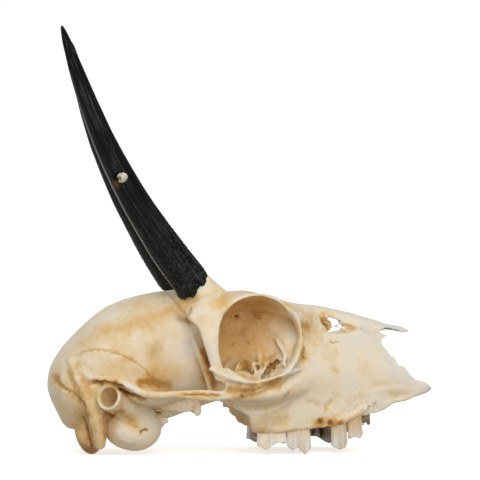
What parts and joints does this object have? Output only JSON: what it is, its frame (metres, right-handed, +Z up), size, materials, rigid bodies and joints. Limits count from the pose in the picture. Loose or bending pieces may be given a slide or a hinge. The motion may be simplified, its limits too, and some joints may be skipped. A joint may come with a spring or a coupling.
{
  "type": "steenbok skull",
  "caption": "Horned skull of a small antelope without the lower jaw, lying level on its condyles and cheek teeth, a still museum model.",
  "frame": {"origin": "on the floor under the middle of the whole skull's bounding box", "axes": "+X towards the muzzle, +Y the animal's left, +Z up"},
  "size_m": [0.1412, 0.0728, 0.1548],
  "materials": {
    "cranium": "dry matt bone, cream with tan and orange stains",
    "upper_jaw": "dry matt bone, cream with tan and orange stains",
    "nasal_bones": "dry matt bone, cream with tan and orange stains",
    "premaxilla_right": "dry matt bone, cream with tan and orange stains",
    "premaxilla_left": "dry matt bone, cream with tan and orange stains",
    "zygomatic_arch_right": "dry matt bone, cream with tan and orange stains",
    "zygomatic_arch_left": "dry matt bone, cream with tan and orange stains",
    "auditory_bulla_right": "dry matt bone, cream with tan and orange stains",
    "auditory_bulla_left": "dry matt bone, cream with tan and orange stains",
    "horn_right": "near black keratin with fine lengthwise fibres",
    "horn_left": "near black keratin with fine lengthwise fibres"
  },
  "bodies": {
    "root": {"cranium": "cranium", "upper_jaw": "upper_jaw", "nasal_bones": "nasal_bones", "premaxilla_right": "premaxilla_right", "premaxilla_left": "premaxilla_left", "zygomatic_arch_right": "zygomatic_arch_right", "zygomatic_arch_left": "zygomatic_arch_left", "auditory_bulla_right": "auditory_bulla_right", "auditory_bulla_left": "auditory_bulla_left", "horn_right": "horn_right", "horn_left": "horn_left"}
  },
  "joints": []
}
